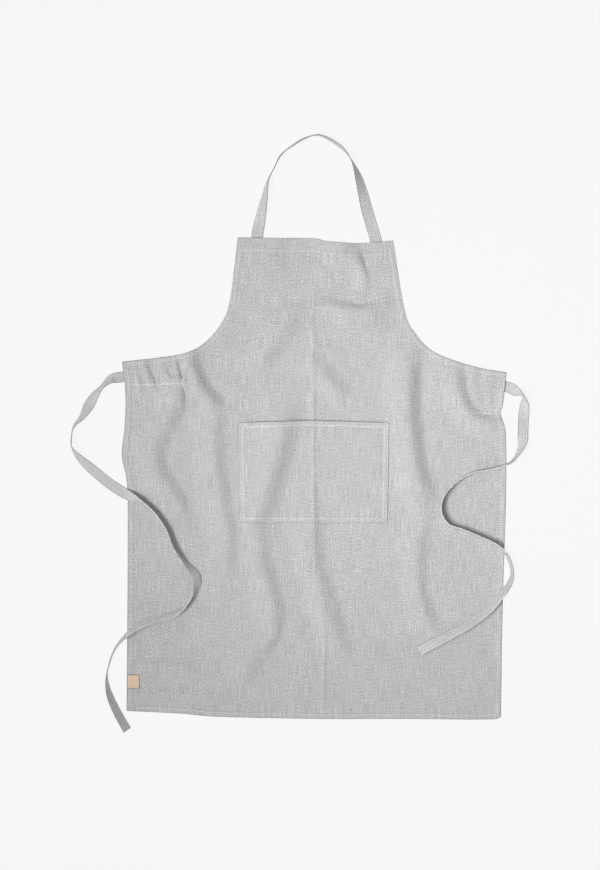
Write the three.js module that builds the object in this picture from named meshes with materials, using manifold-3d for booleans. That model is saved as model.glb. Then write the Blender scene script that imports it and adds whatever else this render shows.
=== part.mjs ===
// Linen bib apron laid out on a table, front side up.
// Millimetres: X runs to the right across the front, Y from the hem to the bib, Z up from the table.
// The origin lies on the table, under the middle of the space that the laid-out apron takes.
import * as THREE from 'three';
import { mergeVertices } from 'three/addons/utils/BufferGeometryUtils.js';
import Module from 'manifold-3d';

const wasm = await Module();
wasm.setup();

// Walls of the pieces and the gap left between two of them
const CLOTH_WALL = 1;
const STRAP_WALL = 1.4;
const LEATHER_WALL = 1.2;
const GAP = 0.3;

// Straps are strips of linen folded to these widths
const NECK_STRAP_WIDTH = 22;
const TIE_WIDTH = 20;
const STRAP_STEPS = 3;
const STRAP_SLOPE = 0.3;
const ACROSS_STRAP = [-1, -0.5, 0, 0.5, 1];
const BESIDE_STEP = [-0.6, -0.3, 0.3, 0.6];

// The panel's finished edge, anticlockwise from the left end of the hem, with the points it passes through
const PANEL_EDGES = [
  { edge: 'hem', via: [[-224, -524], [-150, -530], [34, -534], [200, -534], [352, -535], [376, -530]] },
  { edge: 'right side', via: [[379, -330], [385, -130], [385, -10], [375, 38], [379, 52], [386, 114]] },
  { edge: 'right armhole', via: [[342, 121], [291, 135], [246, 155], [215, 188], [196, 230], [174, 360]] },
  { edge: 'bib top', via: [[103, 355], [50, 359], [24, 365], [-50, 365], [-116, 366]] },
  {
    edge: 'left armhole',
    via: [[-131, 250], [-145, 209], [-174, 173], [-210, 151], [-266, 141], [-332, 134]],
  },
  {
    edge: 'left side',
    via: [[-326, 75], [-328, 10], [-333, -42], [-323, -100], [-322, -240], [-324, -519]],
  },
];
const EDGE_STEPS = 3;
const EDGE_MARGIN = 8;

// The sheet of cloth that the panel and the pocket are cut from, with closer rows where it is gathered
const SHEET_LEFT = -348;
const SHEET_RIGHT = 400;
const SHEET_COLUMNS = 50;
const SHEET_ROWS = [
  { from: 386, to: 164, rows: 9 },
  { from: 164, to: 20, rows: 12 },
  { from: 20, to: -548, rows: 17 },
];

// Where the cloth is lifted by what lies under it
const LIFTS = [
  { over: 'left end of the neck strap', left: -112, right: -50, low: 308, high: 390, height: 2.4 },
  { over: 'right end of the neck strap', left: 110, right: 180, low: 304, high: 390, height: 2.4 },
  { over: 'left facing', left: -350, right: -190, low: 74, high: 180, height: 1.4 },
  { over: 'left tie', left: -350, right: -200, low: 80, high: 150, height: 4 },
  { over: 'right facing', left: 258, right: 402, low: 16, high: 160, height: 1.4 },
  { over: 'right tie', left: 262, right: 402, low: 62, high: 142, height: 4 },
];
const LIFT_FADE = 36;

// Folds of the laid-out cloth, each a soft ridge along a curve, from the bib down.
// The cloth climbs to the ridge over its rise on one side, and falls over its drop on the other.
const FOLDS = [
  { fold: 'bib drape', from: [68, 430], bend: [90, 322], to: [124, 225], high: 10, rise: 50, drop: 36 },
  { fold: 'bib crease', from: [20, 248], bend: [112, 205], to: [205, 264], high: 7.5, rise: 36, drop: 24 },
  { fold: 'bib left', from: [34, 236], bend: [-48, 202], to: [-92, 81], high: 8, rise: 36, drop: 34 },
  { fold: 'waist', from: [10, 150], bend: [42, 104], to: [92, 50], high: 5.5, rise: 36, drop: 30 },
  { fold: 'left chest', from: [-212, 225], bend: [-228, 64], to: [-112, 34], high: 10, rise: 38, drop: 28 },
  { fold: 'left lap', from: [-169, 90], bend: [-154, -85], to: [-141, -300], high: 7.5, rise: 50, drop: 32 },
  { fold: 'left hip', from: [-234, 190], bend: [-219, 44], to: [-276, -45], high: 9, rise: 44, drop: 30 },
  { fold: 'left leg', from: [-265, 10], bend: [-292, -84], to: [-208, -245], high: 8.5, rise: 48, drop: 32 },
  { fold: 'tuck 1', from: [-304, 170], bend: [-302, 110], to: [-298, 50], high: 3.5, rise: 24, drop: 22 },
  { fold: 'tuck 2', from: [-294, 170], bend: [-284, 109], to: [-260, 55], high: 4, rise: 24, drop: 22 },
  { fold: 'tuck 3', from: [-258, 170], bend: [-252, 115], to: [-238, 75], high: 3, rise: 24, drop: 22 },
  { fold: 'pocket', from: [-10, 105], bend: [-46, -60], to: [-92, -215], high: 13, rise: 60, drop: 40 },
  { fold: 'mid skirt', from: [-92, -100], bend: [-82, -246], to: [-48, -370], high: 8, rise: 48, drop: 32 },
  { fold: 'left hem', from: [-52, -290], bend: [-32, -430], to: [-182, -500], high: 8, rise: 52, drop: 34 },
  { fold: 'centre crease', from: [23, 300], bend: [22, -162], to: [40, -600], high: 2.5, rise: 28, drop: 26 },
  { fold: 'centre skirt', from: [15, -60], bend: [8, -280], to: [98, -450], high: 7.5, rise: 46, drop: 32 },
  { fold: 'right chest', from: [222, 225], bend: [174, 10], to: [247, -180], high: 13, rise: 54, drop: 36 },
  { fold: 'right lap', from: [248, -95], bend: [180, -280], to: [283, -392], high: 6.5, rise: 46, drop: 30 },
  { fold: 'right hip', from: [286, 190], bend: [240, -15], to: [480, 10], high: 8, rise: 36, drop: 26 },
];
const FOLD_STEPS = 10;
const FOLD_END = 0.3;

// Height range of the upright walls that the sheets are cut along
const CUT_BOTTOM = -5;
const CUT_TOP = 60;

// Patch pocket: its mouth stands a little off the panel, its sewn sides and bottom lie close
const POCKET_EDGES = [
  { edge: 'bottom', via: [[164, -168]] },
  { edge: 'right side', via: [[167, 20]] },
  { edge: 'mouth', via: [[23, 24], [-18, 23], [-116, 20]] },
  { edge: 'left side', via: [[-113, -167]] },
];
const POCKET = { left: -114, right: 165, bottom: -168, top: 22, mouth: 3, ease: 40 };

// Strips behind the waist corners, each making a tunnel for its tie
const LEFT_FACING = {
  outer: [-329, 131], upper: [[-266, 138], [-214, 147]], lower: [[-214, 90], [-323, 88]],
};
const RIGHT_FACING = {
  outer: [383, 111], upper: [[342, 118], [292, 131]], lower: [[300, 32], [372, 34]],
};

// Square leather tab, flush with the left side of the panel
const LEATHER_TAB = { left: -322.5, right: -300, bottom: -477, top: -451, corner: 1 };

// Straps as laid: roll 0 lies flat and 90 stands on edge, with the left edge up when it is positive.
// The first and last rows that an end hides are under the cloth, at the height it rests on there.
const NECK_STRAP = {
  width: NECK_STRAP_WIDTH, hiddenStart: 3, hiddenEnd: 3, hiddenRest: 0,
  rows: [
    { x: -82, y: 334, roll: 0 }, { x: -79, y: 374, roll: 0 }, { x: -73, y: 404, roll: -29 },
    { x: -66, y: 440, roll: -56 }, { x: -60, y: 470, roll: -78 }, { x: -48, y: 495, roll: -85 },
    { x: -35, y: 519, roll: -87 }, { x: -13, y: 537, roll: -76 }, { x: 9, y: 550, roll: -75 },
    { x: 32, y: 556, roll: -85 }, { x: 53, y: 549, roll: -93 }, { x: 72, y: 537, roll: -96 },
    { x: 87, y: 523, roll: -90 }, { x: 100, y: 502, roll: -76 }, { x: 110, y: 476, roll: -48 },
    { x: 118, y: 447, roll: -27 }, { x: 127, y: 412, roll: -8 }, { x: 142, y: 362, roll: 0 },
    { x: 150, y: 330, roll: 0 },
  ],
};
const LEFT_TIE = {
  width: TIE_WIDTH, hiddenStart: 4, hiddenEnd: 0, hiddenRest: CLOTH_WALL + GAP,
  rows: [
    { x: -222, y: 120, roll: 0 }, { x: -275, y: 111, roll: 0 }, { x: -335, y: 105, roll: 0 },
    { x: -353, y: 101, roll: 36 }, { x: -369, y: 87, roll: 62 }, { x: -383, y: 70, roll: 36 },
    { x: -393, y: 54, roll: 10 }, { x: -406, y: 31, roll: 52 }, { x: -422, y: 12, roll: 75 },
    { x: -426, y: -9, roll: 84 }, { x: -425, y: -27, roll: 80 }, { x: -411, y: -46, roll: 48 },
    { x: -386, y: -69, roll: 17 }, { x: -357, y: -93, roll: 8 }, { x: -326, y: -113, roll: 12 },
    { x: -297, y: -128, roll: 65 }, { x: -271, y: -149, roll: 80 }, { x: -249, y: -179, roll: 88 },
    { x: -235, y: -213, roll: 92 }, { x: -216, y: -240, roll: 104 }, { x: -197, y: -261, roll: 140 },
    { x: -192, y: -280, roll: 138 }, { x: -200, y: -304, roll: 97 }, { x: -219, y: -328, roll: 78 },
    { x: -243, y: -340, roll: 50 }, { x: -271, y: -347, roll: 44 }, { x: -303, y: -361, roll: 55 },
    { x: -329, y: -382, roll: 74 }, { x: -345, y: -402, roll: 81 }, { x: -355, y: -427, roll: 82 },
    { x: -360, y: -452, roll: 90 }, { x: -358, y: -476, roll: 108 }, { x: -351, y: -498, roll: 122 },
    { x: -339, y: -524, roll: 130 }, { x: -322, y: -554, roll: 134 },
  ],
};
const RIGHT_TIE = {
  width: TIE_WIDTH, hiddenStart: 4, hiddenEnd: 0, hiddenRest: CLOTH_WALL + GAP,
  rows: [
    { x: 288, y: 111, roll: 0 }, { x: 333, y: 100, roll: 0 }, { x: 389, y: 86, roll: 0 },
    { x: 401, y: 79, roll: 26 }, { x: 416, y: 70, roll: 83 }, { x: 419, y: 52, roll: 36 },
    { x: 418, y: 29, roll: 0 }, { x: 417, y: 2, roll: 0 }, { x: 415, y: -20, roll: 46 },
    { x: 406, y: -39, roll: 75 }, { x: 396, y: -52, roll: 82 }, { x: 380, y: -60, roll: 86 },
    { x: 355, y: -67, roll: 88 }, { x: 327, y: -72, roll: 88 }, { x: 303, y: -82, roll: 88 },
    { x: 280, y: -101, roll: 88 }, { x: 265, y: -124, roll: 88 }, { x: 263, y: -148, roll: 86 },
    { x: 276, y: -170, roll: 82 }, { x: 303, y: -180, roll: 80 }, { x: 335, y: -193, roll: 82 },
    { x: 362, y: -205, roll: 84 }, { x: 380, y: -219, roll: 82 }, { x: 391, y: -238, roll: 78 },
    { x: 396, y: -261, roll: 80 }, { x: 391, y: -280, roll: 69 }, { x: 376, y: -301, roll: 58 },
    { x: 352, y: -329, roll: 48 }, { x: 318, y: -355, roll: 44 }, { x: 283, y: -375, roll: 34 },
    { x: 251, y: -391, roll: 26 }, { x: 224, y: -407, roll: 20 },
  ],
};

const linen = new THREE.MeshStandardMaterial({ color: 0xbfbebc, roughness: 0.95, metalness: 0 });
const leather = new THREE.MeshStandardMaterial({ color: 0xdcc3a6, roughness: 0.7, metalness: 0 });

function toVector([x, y]) {
  return new THREE.Vector2(x, y);
}

// Eases from 0 to 1 as the value goes from 0 to 1
function ease(value) {
  const held = THREE.MathUtils.clamp(value, 0, 1);
  return held * held * (3 - 2 * held);
}

function toSolid(geometry) {
  geometry.deleteAttribute('normal');
  geometry.deleteAttribute('uv');
  const merged = mergeVertices(geometry);
  const vertProperties = Float32Array.from(merged.attributes.position.array);
  const triVerts = Uint32Array.from(merged.index.array);
  return new wasm.Manifold(new wasm.Mesh({ numProp: 3, vertProperties, triVerts }));
}

function toMesh(name, solid, material) {
  const { vertProperties, triVerts } = solid.getMesh();
  const geometry = new THREE.BufferGeometry();
  geometry.setAttribute('position', new THREE.BufferAttribute(vertProperties, 3));
  geometry.setIndex(new THREE.BufferAttribute(triVerts, 1));
  geometry.computeVertexNormals();
  const mesh = new THREE.Mesh(geometry, material);
  mesh.name = name;
  return mesh;
}

// A shape whose edges are smooth curves through their points, each starting where the last one ends
function shapeFromEdges(edges) {
  const [x, y] = edges.at(-1).via.at(-1);
  const shape = new THREE.Shape().moveTo(x, y);
  for (const { via } of edges) shape.splineThru(via.map(toVector));
  return shape;
}

function roundedRectangle({ left, right, bottom, top, corner }) {
  const shape = new THREE.Shape().moveTo(left + corner, bottom);
  shape.absarc(right - corner, bottom + corner, corner, -Math.PI / 2, 0);
  shape.absarc(right - corner, top - corner, corner, 0, Math.PI / 2);
  shape.absarc(left + corner, top - corner, corner, Math.PI / 2, Math.PI);
  shape.absarc(left + corner, bottom + corner, corner, Math.PI, 1.5 * Math.PI);
  return shape;
}

function cutter(shape) {
  const options = { depth: CUT_TOP - CUT_BOTTOM, bevelEnabled: false, curveSegments: EDGE_STEPS };
  return toSolid(new THREE.ExtrudeGeometry(shape, options).translate(0, 0, CUT_BOTTOM));
}

// The place on a path nearest to a point: its distance, its side with left positive, its share of the way
function nearestOnPath(path, x, y) {
  let nearest = { distance: Infinity };
  for (let i = 0; i < path.length - 1; i += 1) {
    const run = path[i + 1].clone().sub(path[i]);
    const offset = new THREE.Vector2(x, y).sub(path[i]);
    const share = THREE.MathUtils.clamp(offset.dot(run) / run.lengthSq(), 0, 1);
    const distance = offset.clone().addScaledVector(run, -share).length();
    if (distance < nearest.distance) {
      nearest = { distance, side: run.cross(offset), along: (i + share) / (path.length - 1) };
    }
  }
  return nearest;
}

function foldHeight({ high, rise, drop, path }, x, y) {
  const { distance, side, along } = nearestOnPath(path, x, y);
  const away = distance / (side > 0 ? drop : rise);
  const fullness = ease(Math.min(along, 1 - along) / FOLD_END);
  return high * fullness * ease(1 - away);
}

function liftHeight({ left, right, low, high, height }, x, y) {
  const away = Math.hypot(Math.max(left - x, 0, x - right), Math.max(low - y, 0, y - high));
  return height * ease(1 - away / LIFT_FADE);
}

const folds = FOLDS.map((fold) => {
  const crest = new THREE.QuadraticBezierCurve(toVector(fold.from), toVector(fold.bend), toVector(fold.to));
  return { ...fold, path: crest.getPoints(FOLD_STEPS) };
});

function clothHeight(x, y) {
  const lift = Math.max(...LIFTS.map((row) => liftHeight(row, x, y)));
  return folds.reduce((height, fold) => height + foldHeight(fold, x, y), lift);
}

// The sheet's grid of places, row by row from the bib down, each with the height of the cloth's underside
const sheetColumns = Array.from({ length: SHEET_COLUMNS + 1 }, (_, column) =>
  THREE.MathUtils.lerp(SHEET_LEFT, SHEET_RIGHT, column / SHEET_COLUMNS));
const sheetRows = [SHEET_ROWS[0].from];
for (const { from, to, rows } of SHEET_ROWS) {
  for (let row = 1; row <= rows; row += 1) sheetRows.push(THREE.MathUtils.lerp(from, to, row / rows));
}
const sheetHeights = sheetRows.map((y) => sheetColumns.map((x) => clothHeight(x, y)));

// Height of the panel's underside anywhere, on the flat triangles between the places of the grid
function panelUnderside(x, y) {
  const lastColumn = SHEET_COLUMNS - 1;
  const column = THREE.MathUtils.clamp(sheetColumns.findIndex((edge) => edge > x) - 1, 0, lastColumn);
  const row = THREE.MathUtils.clamp(sheetRows.findIndex((edge) => edge <= y) - 1, 0, sheetRows.length - 2);
  const across = THREE.MathUtils.inverseLerp(sheetColumns[column], sheetColumns[column + 1], x);
  const up = THREE.MathUtils.inverseLerp(sheetRows[row + 1], sheetRows[row], y);
  const [upperLeft, upperRight] = sheetHeights[row].slice(column, column + 2);
  const [lowerLeft, lowerRight] = sheetHeights[row + 1].slice(column, column + 2);
  return across > up
    ? lowerLeft + (lowerRight - lowerLeft) * across + (upperRight - lowerRight) * up
    : lowerLeft + (upperLeft - lowerLeft) * up + (upperRight - upperLeft) * across;
}

// A closed wall between two grids of places, row by row, of which the second lies on the outer side
function closedSheet(columns, rows, inner, outer) {
  const grid = new THREE.PlaneGeometry(1, 1, columns, rows);
  const count = inner.length;
  const index = [];
  for (let i = 0; i < grid.index.count; i += 3) {
    const [a, b, c] = grid.index.array.slice(i, i + 3);
    index.push(c, b, a, a + count, b + count, c + count);
  }
  const border = [];
  for (let column = 0; column < columns; column += 1) border.push(count - columns - 1 + column);
  for (let row = rows; row > 0; row -= 1) border.push(row * (columns + 1) + columns);
  for (let column = columns; column > 0; column -= 1) border.push(column);
  for (let row = 0; row < rows; row += 1) border.push(row * (columns + 1));
  border.forEach((place, i) => {
    const next = border[(i + 1) % border.length];
    index.push(place, next, next + count, place, next + count, place + count);
  });
  const sheet = new THREE.BufferGeometry().setIndex(index);
  sheet.setAttribute('position', new THREE.Float32BufferAttribute([...inner, ...outer].flat(), 3));
  return toSolid(sheet);
}

// The sheet of cloth over the whole grid, raised off the panel's underside
function drapedSheet(raise, wall) {
  const inner = sheetRows.flatMap((y, row) =>
    sheetColumns.map((x, column) => [x, y, sheetHeights[row][column] + raise(x, y)]));
  const outer = inner.map(([x, y, z]) => [x, y, z + wall]);
  return closedSheet(SHEET_COLUMNS, sheetRows.length - 1, inner, outer);
}

// Whether a place is over the panel, or within the margin of its edge
const panelShape = shapeFromEdges(PANEL_EDGES);
const panelEdge = panelShape.getPoints(EDGE_STEPS);
function overPanel(x, y) {
  const inside = panelEdge.reduce((within, a, i) => {
    const b = panelEdge[(i + 1) % panelEdge.length];
    const crosses = a.y > y !== b.y > y && x < a.x + ((b.x - a.x) * (y - a.y)) / (b.y - a.y);
    return crosses ? !within : within;
  }, false);
  return inside || nearestOnPath(panelEdge, x, y).distance < EDGE_MARGIN;
}

function restingHeight(x, y) {
  return overPanel(x, y) ? panelUnderside(x, y) + CLOTH_WALL + GAP : 0;
}

// A flat strip bent along its rows, each part of it let down until it rests on what is under it
function strapSolid({ width, rows, hiddenStart, hiddenEnd, hiddenRest }) {
  const spans = rows.length - 1;
  const steps = spans * STRAP_STEPS;
  const course = new THREE.CatmullRomCurve3(rows.map(({ x, y, roll }) => new THREE.Vector3(x, y, roll)));
  course.curveType = 'catmullrom';

  function sectionAt(step) {
    const share = THREE.MathUtils.clamp(step / steps, 0, 1);
    const { x, y, z: roll } = course.getPoint(share);
    const heading = toVector(course.getTangent(share).toArray()).normalize();
    const turn = THREE.MathUtils.degToRad(roll);
    const across = new THREE.Vector3(-heading.y * Math.cos(turn), heading.x * Math.cos(turn), Math.sin(turn));
    const face = new THREE.Vector3(heading.y * Math.sin(turn), -heading.x * Math.sin(turn), Math.cos(turn));
    const span = share * spans;
    const hidden = span <= hiddenStart - 1 || span >= spans - hiddenEnd + 1;
    const heights = ACROSS_STRAP.map((place) => {
      const reach = (place * width) / 2;
      const rest = hidden ? hiddenRest : restingHeight(x + across.x * reach, y + across.y * reach);
      return rest - across.z * reach;
    });
    const height = Math.max(...heights) + (Math.abs(face.z) * STRAP_WALL) / 2;
    return { centre: new THREE.Vector3(x, y, height), across, face };
  }

  const sections = Array.from({ length: steps + 1 }, (_, step) => sectionAt(step));
  const heights = sections.map(({ centre }, step) =>
    Math.max(centre.z, ...BESIDE_STEP.map((shift) => sectionAt(step + shift).centre.z)));
  const falls = sections.slice(1).map(({ centre }, i) => {
    const before = sections[i].centre;
    return STRAP_SLOPE * Math.hypot(centre.x - before.x, centre.y - before.y);
  });
  for (let i = 1; i <= steps; i += 1) heights[i] = Math.max(heights[i], heights[i - 1] - falls[i - 1]);
  for (let i = steps; i > 0; i -= 1) heights[i - 1] = Math.max(heights[i - 1], heights[i] - falls[i - 1]);

  function wallSide(faceShift) {
    return sections.flatMap(({ centre, across, face }, step) => {
      const middle = centre.clone().setZ(heights[step]).addScaledVector(face, faceShift);
      return [-width / 2, width / 2].map((reach) => middle.clone().addScaledVector(across, reach).toArray());
    });
  }

  return closedSheet(1, steps, wallSide(-STRAP_WALL / 2), wallSide(STRAP_WALL / 2));
}

function facingSolid({ outer, upper, lower }) {
  const shape = new THREE.Shape().moveTo(...outer).splineThru(upper.map(toVector));
  for (const [x, y] of lower) shape.lineTo(x, y);
  const options = { depth: CLOTH_WALL, bevelEnabled: false, curveSegments: EDGE_STEPS };
  return toSolid(new THREE.ExtrudeGeometry(shape, options));
}

function pocketRaise(x, y) {
  const fromSide = Math.min(x - POCKET.left, POCKET.right - x) / POCKET.ease;
  const up = (y - POCKET.bottom) / (POCKET.top - POCKET.bottom);
  return CLOTH_WALL + GAP + POCKET.mouth * ease(fromSide) * ease(up);
}

const onPanel = () => CLOTH_WALL + GAP;
const panel = drapedSheet(() => 0, CLOTH_WALL).intersect(cutter(panelShape));
const pocket = drapedSheet(pocketRaise, CLOTH_WALL).intersect(cutter(shapeFromEdges(POCKET_EDGES)));
const tab = drapedSheet(onPanel, LEATHER_WALL).intersect(cutter(roundedRectangle(LEATHER_TAB)));

const apron = new THREE.Group();
apron.add(
  toMesh('apron_panel', panel, linen),
  toMesh('pocket', pocket, linen),
  toMesh('neck_strap', strapSolid(NECK_STRAP), linen),
  toMesh('left_tie', strapSolid(LEFT_TIE), linen),
  toMesh('right_tie', strapSolid(RIGHT_TIE), linen),
  toMesh('left_facing', facingSolid(LEFT_FACING), linen),
  toMesh('right_facing', facingSolid(RIGHT_FACING), linen),
  toMesh('leather_tab', tab, leather),
);

export default apron;
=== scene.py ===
import bpy
import numpy as np
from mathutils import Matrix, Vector, noise
from mathutils.geometry import delaunay_2d_cdt


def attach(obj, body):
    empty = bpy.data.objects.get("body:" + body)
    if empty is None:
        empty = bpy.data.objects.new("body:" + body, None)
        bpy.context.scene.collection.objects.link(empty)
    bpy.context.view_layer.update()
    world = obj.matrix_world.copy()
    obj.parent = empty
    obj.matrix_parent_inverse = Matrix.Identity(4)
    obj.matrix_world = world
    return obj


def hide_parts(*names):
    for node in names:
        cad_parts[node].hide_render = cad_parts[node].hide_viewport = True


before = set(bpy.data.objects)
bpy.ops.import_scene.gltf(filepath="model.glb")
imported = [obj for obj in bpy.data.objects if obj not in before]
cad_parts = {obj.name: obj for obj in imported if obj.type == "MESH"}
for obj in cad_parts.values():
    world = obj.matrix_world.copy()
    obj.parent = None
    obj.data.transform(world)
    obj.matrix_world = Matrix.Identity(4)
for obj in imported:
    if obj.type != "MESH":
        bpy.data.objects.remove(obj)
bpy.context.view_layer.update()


# Apron panel: bib and skirt cut in one from plain-woven grey linen, with all edges turned under and sewn.
# It lies front side up in the soft folds that it was shaken out with, over the facings and strap ends.
# A row of pale thread holds its hem, and two short rows close the tunnels at the waist corners.
MM = 0.001
PANEL_EDGES = [
    dict(edge="hem", via=[(-224, -524), (-150, -530), (34, -534), (200, -534), (352, -535), (376, -530)]),
    dict(edge="right side", via=[(379, -330), (385, -130), (385, -10), (375, 38), (379, 52), (386, 114)]),
    dict(
        edge="right armhole",
        via=[(342, 121), (291, 135), (246, 155), (215, 188), (196, 230), (174, 360)],
    ),
    dict(edge="bib top", via=[(103, 355), (50, 359), (24, 365), (-50, 365), (-116, 366)]),
    dict(
        edge="left armhole",
        via=[(-131, 250), (-145, 209), (-174, 173), (-210, 151), (-266, 141), (-332, 134)],
    ),
    dict(
        edge="left side",
        via=[(-326, 75), (-328, 10), (-333, -42), (-323, -100), (-322, -240), (-324, -519)],
    ),
]
CURVE_STEPS = 24
PANEL_SPACING = 4.2
EDGE_SPACING = 4.0

LINEN_WALL = 0.7
HEM_WIDTH = 9.0
HEM_RISE = 0.6
HEM_FADE = 1.4
LIP = 0.9
LIP_LEAST = 0.3
PANEL_RINGS = (0.35, 0.9, 1.8, 4.5, 7.0, 8.0, 9.2, 10.4, 13.0)
# Paler hem band, with painted shade at the very edge and a painted shadow line along the hem's seam.
PANEL_HEM_TONE_AND_PAINTED_SHADE = [
    dict(depth=0.9, light=-5), dict(depth=1.8, light=0), dict(depth=4.5, light=0.6),
    dict(depth=7, light=0.6), dict(depth=9.2, light=-0.4), dict(depth=13, light=0),
]

LIFTS = [
    dict(over="left end of the neck strap", left=-112, right=-50, low=308, high=390, height=4.6),
    dict(over="right end of the neck strap", left=124, right=180, low=304, high=390, height=4.6),
    dict(over="left facing", left=-350, right=-190, low=74, high=180, height=1.4),
    dict(over="left tie", left=-350, right=-200, low=80, high=150, height=4.6),
    dict(over="right facing", left=258, right=402, low=16, high=160, height=1.4),
    dict(over="right tie", left=262, right=402, low=62, high=142, height=4.2),
]
LIFT_FADE = 36
LIFT_SLACK = 1.2

FOLDS = [
    dict(fold="bib drape", high=13, rise=60, drop=42, tucked=0,
         via=[(71, 440), (74, 366), (78, 348), (88, 326), (105, 288)]),
    dict(fold="drape end", high=4.6, rise=30, drop=12, tucked=0.3,
         via=[(101, 342), (107, 324), (115, 305), (119, 282), (121, 248)]),
    dict(fold="bib crease", high=8, rise=34, drop=20, tucked=0,
         via=[(20, 246), (60, 236), (94, 229), (116, 226), (142, 233), (182, 254)]),
    dict(fold="bib press", high=2.2, rise=24, drop=15, tucked=0,
         via=[(-130, 222), (-56, 226), (19, 236), (110, 233)]),
    dict(fold="bib left", high=9, rise=34, drop=34, tucked=0,
         via=[(34, 236), (-18, 210), (-46, 180), (-71, 139), (-88, 91)]),
    dict(fold="bib right", high=5, rise=24, drop=16, tucked=0,
         via=[(58, 178), (84, 187), (114, 194), (148, 200), (178, 213)]),
    dict(fold="bib nick", high=2.6, rise=22, drop=12, tucked=0, via=[(22, 330), (46, 300), (68, 268)]),
    dict(fold="waist", high=6, rise=34, drop=30, tucked=0, via=[(10, 150), (32, 122), (65, 81), (88, 55)]),
    dict(fold="left shoulder", high=10, rise=34, drop=24, tucked=0,
         via=[(-212, 225), (-208, 150), (-202, 116), (-190, 92), (-174, 68), (-148, 46), (-112, 34)]),
    dict(fold="left skirt", high=8, rise=45, drop=28, tucked=0,
         via=[(-176, 90), (-167, 40), (-163, -29), (-151, -114), (-138, -181), (-139, -245), (-143, -300)]),
    dict(fold="left hip", high=10, rise=50, drop=27, tucked=0.2,
         via=[(-238, 190), (-235, 150), (-231, 105), (-231, 70), (-245, 34), (-264, 0), (-274, -35),
              (-269, -70), (-250, -102), (-230, -134), (-216, -180), (-210, -240)]),
    dict(fold="left tuck 1", high=3, rise=10, drop=7, tucked=0,
         via=[(-304, 165), (-302, 120), (-300, 95), (-297, 60)]),
    dict(fold="left tuck 2", high=4, rise=12, drop=10, tucked=0,
         via=[(-298, 165), (-290, 126), (-283, 103), (-262, 60)]),
    dict(fold="left tuck 3", high=2.5, rise=12, drop=10, tucked=0,
         via=[(-260, 165), (-256, 124), (-248, 103), (-238, 80)]),
    dict(fold="pinch", high=4.5, rise=14, drop=9, tucked=0.5,
         via=[(-250, 99), (-236, 100), (-222, 100), (-208, 97)]),
    dict(fold="pocket", high=14, rise=60, drop=38, tucked=0,
         via=[(-19, 105), (-28, 40), (-35, 0), (-45, -40), (-57, -82), (-71, -126), (-86, -165),
              (-97, -215)]),
    dict(fold="mid skirt", high=8.5, rise=45, drop=28, tucked=0,
         via=[(-96, -90), (-86, -150), (-80, -200), (-76, -240), (-62, -282), (-51, -335), (-54, -372),
              (-68, -396), (-90, -418), (-109, -460), (-132, -482), (-182, -496)]),
    dict(fold="centre skirt", high=8, rise=40, drop=30, tucked=0,
         via=[(15, -60), (18, -130), (18, -198), (29, -262), (45, -320), (61, -370), (76, -408),
              (98, -450)]),
    dict(fold="right shoulder", high=14, rise=52, drop=32, tucked=0,
         via=[(222, 225), (207, 143), (200, 105), (199, 55), (205, -12), (215, -75), (233, -126),
              (249, -180)]),
    dict(fold="right skirt", high=7, rise=40, drop=26, tucked=0,
         via=[(248, -95), (230, -155), (220, -198), (216, -248), (220, -299), (232, -338), (252, -368),
              (283, -392)]),
    dict(fold="right hip", high=8.5, rise=34, drop=20, tucked=0.7,
         via=[(286, 180), (288, 120), (291, 85), (299, 58), (318, 32), (348, 16), (420, 10), (520, 0)]),
    dict(fold="right tuck 1", high=1.5, rise=16, drop=14, tucked=0,
         via=[(358, 165), (352, 92), (346, 45)]),
    dict(fold="right tuck 2", high=1.5, rise=16, drop=14, tucked=0,
         via=[(322, 175), (326, 100), (332, 50)]),
    dict(fold="hem ripple 1", high=4.5, rise=30, drop=20, tucked=0,
         via=[(-350, -436), (-250, -437), (-180, -441)]),
    dict(fold="hem ripple 2", high=4.5, rise=24, drop=18, tucked=0,
         via=[(-350, -487), (-220, -490), (-130, -495)]),
]
FOLD_STEPS = 8
FOLD_END = 0.3

CREASES = [
    dict(crease="centre press", high=2.2, reach=10, via=[(24, 330), (25, 100), (26, -100), (30, -280)]),
    dict(crease="lower press", high=2.2, reach=10, via=[(38, -300), (46, -380), (45, -460), (43, -570)]),
    dict(crease="cross press", high=-0.7, reach=9, via=[(-200, -252), (100, -251), (420, -250)]),
    dict(crease="bib pinch", high=-2.4, reach=7,
         via=[(80, 275), (88, 262), (97, 249), (116, 243), (150, 255)]),
    dict(crease="bib valley", high=-1, reach=5, via=[(112, 390), (114, 360), (119, 325), (130, 285)]),
    dict(crease="left tunnel", high=-0.7, reach=6, via=[(-205, 92), (-239, 92), (-288, 90), (-360, 88)]),
    dict(crease="right tunnel", high=-0.7, reach=6, via=[(310, 42), (335, 37), (360, 36), (410, 37)]),
    dict(crease="tuck 1 foot", high=-2.4, reach=4.5, via=[(-304, 140), (-302, 118), (-300, 94)]),
    dict(crease="tuck 2 foot", high=-2.4, reach=4.5, via=[(-283, 135), (-274, 110), (-264, 84)]),
    dict(crease="tuck 3 foot", high=-1.6, reach=4.5, via=[(-246, 124), (-243, 114), (-238, 100)]),
    dict(crease="pinch foot", high=-6, reach=6,
         via=[(-229, 148), (-226, 132), (-223, 116), (-220, 104), (-216, 92)]),
    dict(crease="hip foot", high=-2.5, reach=5, via=[(-223, 104), (-219, 90), (-213, 70), (-217, 48)]),
    dict(crease="left strap end", high=0.9, reach=4, via=[(-69, 380), (-69, 330), (-70, 250)]),
]
SHARP_REACH = 10
SHARP_SPACING = 2.6
SHARP_OFFSETS = (-4, -2, -1, 0, 1, 2, 4)
SHARP_CLEAR = 5.5

CRUMPLES = [
    dict(size=70, high=1.05, layer=3.1),
    dict(size=28, high=0.34, layer=7.7),
    dict(size=12, high=0.08, layer=12.3),
]
CRUMPLE_BASE = 0.5


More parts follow.
